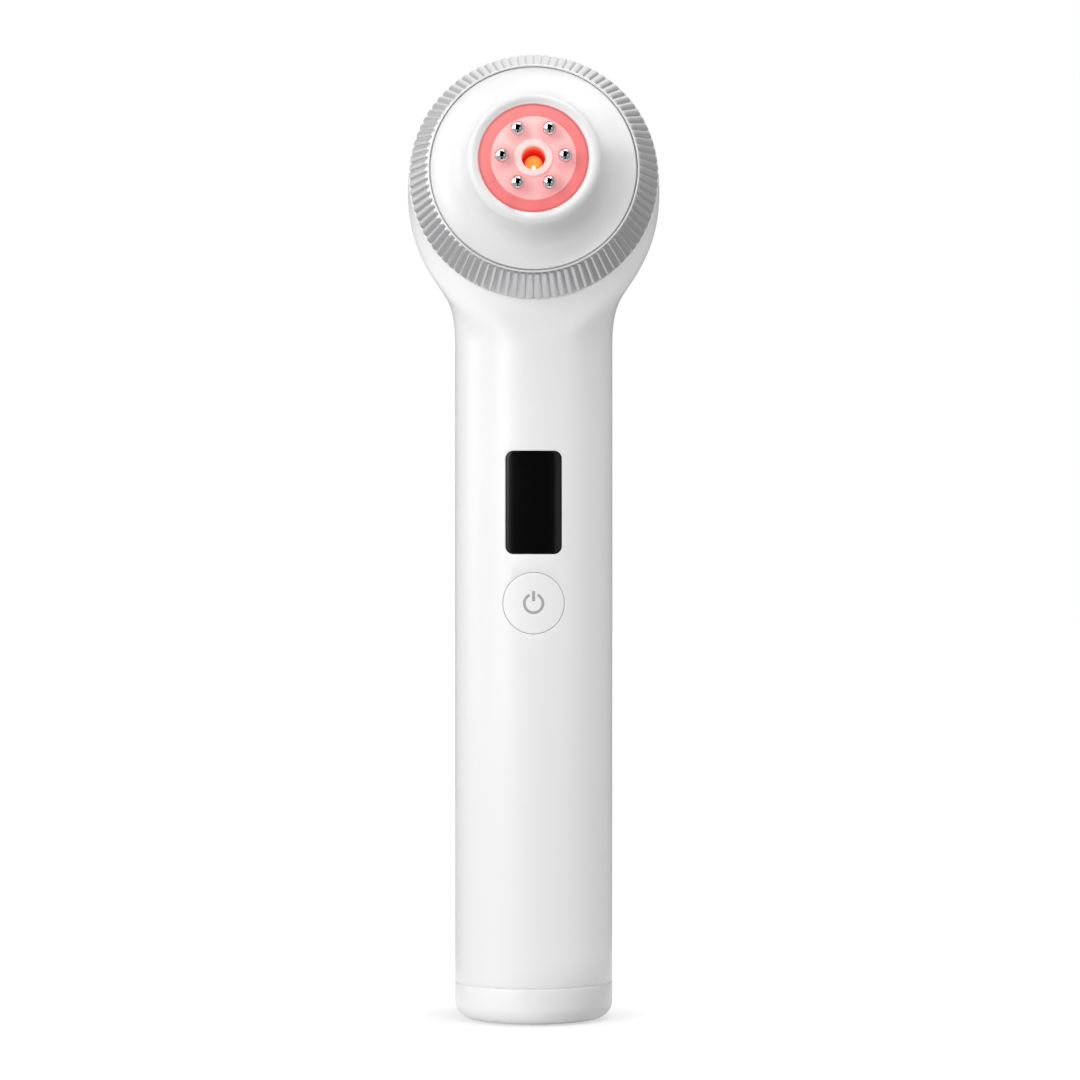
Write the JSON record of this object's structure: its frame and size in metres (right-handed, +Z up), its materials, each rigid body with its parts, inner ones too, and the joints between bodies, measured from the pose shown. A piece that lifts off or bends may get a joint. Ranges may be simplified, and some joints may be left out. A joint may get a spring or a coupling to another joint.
{
  "type": "facial toning device",
  "caption": "Handheld facial toner: round handle with display window and push button, flared neck, and a tilted round head with fluted ring, lit disc and ball electrodes.",
  "frame": {"origin": "centre of the charging socket in the flat base, level with the face that the device stands on", "axes": "+Z up the handle's axis; the front, with display, button and head, faces -Y; +X to the right seen from the front"},
  "size_m": [0.048, 0.047, 0.1837],
  "materials": {
    "white_shell": "satin moulded white plastic",
    "white_gloss": "smooth white plastic with a soft gloss",
    "silver_ring": "satin silver, fluted",
    "chrome_pin": "polished",
    "lit_salmon": "translucent light guide, lit salmon",
    "lit_pink": "translucent plate, lit pale pink",
    "cream_bezel": "pale translucent ring",
    "red_reflector": "red-orange, lit from inside",
    "amber_lamp": "amber lamp",
    "black_glass": "glossy black window",
    "display_panel": "dark display panel",
    "inner_plastic": "unpainted moulding",
    "circuit_board": "green solder mask",
    "chip_black": "black component",
    "steel": "bright",
    "spreader_metal": "plain sheet",
    "gold_contact": "plated",
    "grey_rubber": "matte",
    "flex_film": "amber film",
    "ferrite": "dark ferrite",
    "copper_wire": "enamelled wire",
    "cell_wrap": "shrink wrap"
  },
  "bodies": {
    "housing": {"battery_cell": "cell_wrap", "battery_tabs": "steel", "board_components": "chip_black", "board_screws": "steel", "bottom_cap": "white_shell", "cap_gasket": "grey_rubber", "cap_screws": "steel", "centre_bezel": "cream_bezel", "centre_led": "amber_lamp", "centre_reflector": "red_reflector", "charge_board": "circuit_board", "charge_socket": "steel", "coil_core": "ferrite", "coil_winding": "copper_wire", "display_module": "display_panel", "display_window": "black_glass", "electrode_carrier": "inner_plastic", "electrode_contacts": "gold_contact", "electrode_plate": "lit_pink", "electrodes": "chrome_pin", "frame_screws": "steel", "front_shell": "white_shell", "head_bell": "white_gloss", "head_flex": "flex_film", "head_frame": "inner_plastic", "head_ring": "silver_ring", "head_screws": "steel", "heat_spreader": "spreader_metal", "inner_frame": "inner_plastic", "led_board": "circuit_board", "light_guide": "lit_salmon", "main_board": "circuit_board", "motor_can": "steel", "motor_sleeve": "grey_rubber", "rear_shell": "white_shell", "ring_leds": "amber_lamp", "ring_seal": "grey_rubber", "socket_tongue": "chip_black", "switch_body": "chip_black", "switch_dome": "steel"},
    "button": {"power_button": "white_shell", "switch_plunger": "inner_plastic"},
    "motor_rotor": {"motor_shaft": "steel", "eccentric_weight": "steel"}
  },
  "joints": [
    {"name": "button_press", "type": "slide", "parent": "housing", "child": "button", "axis": [0, 1, 0], "range_m": [0, 0.0004], "stiffness_N_per_m": 1500, "springref_m": -0.0003},
    {"name": "motor_spin", "type": "hinge", "parent": "housing", "child": "motor_rotor", "pos_m": [0, 0.003, 0.095], "axis": [0, 0, 1], "continuous": true}
  ]
}
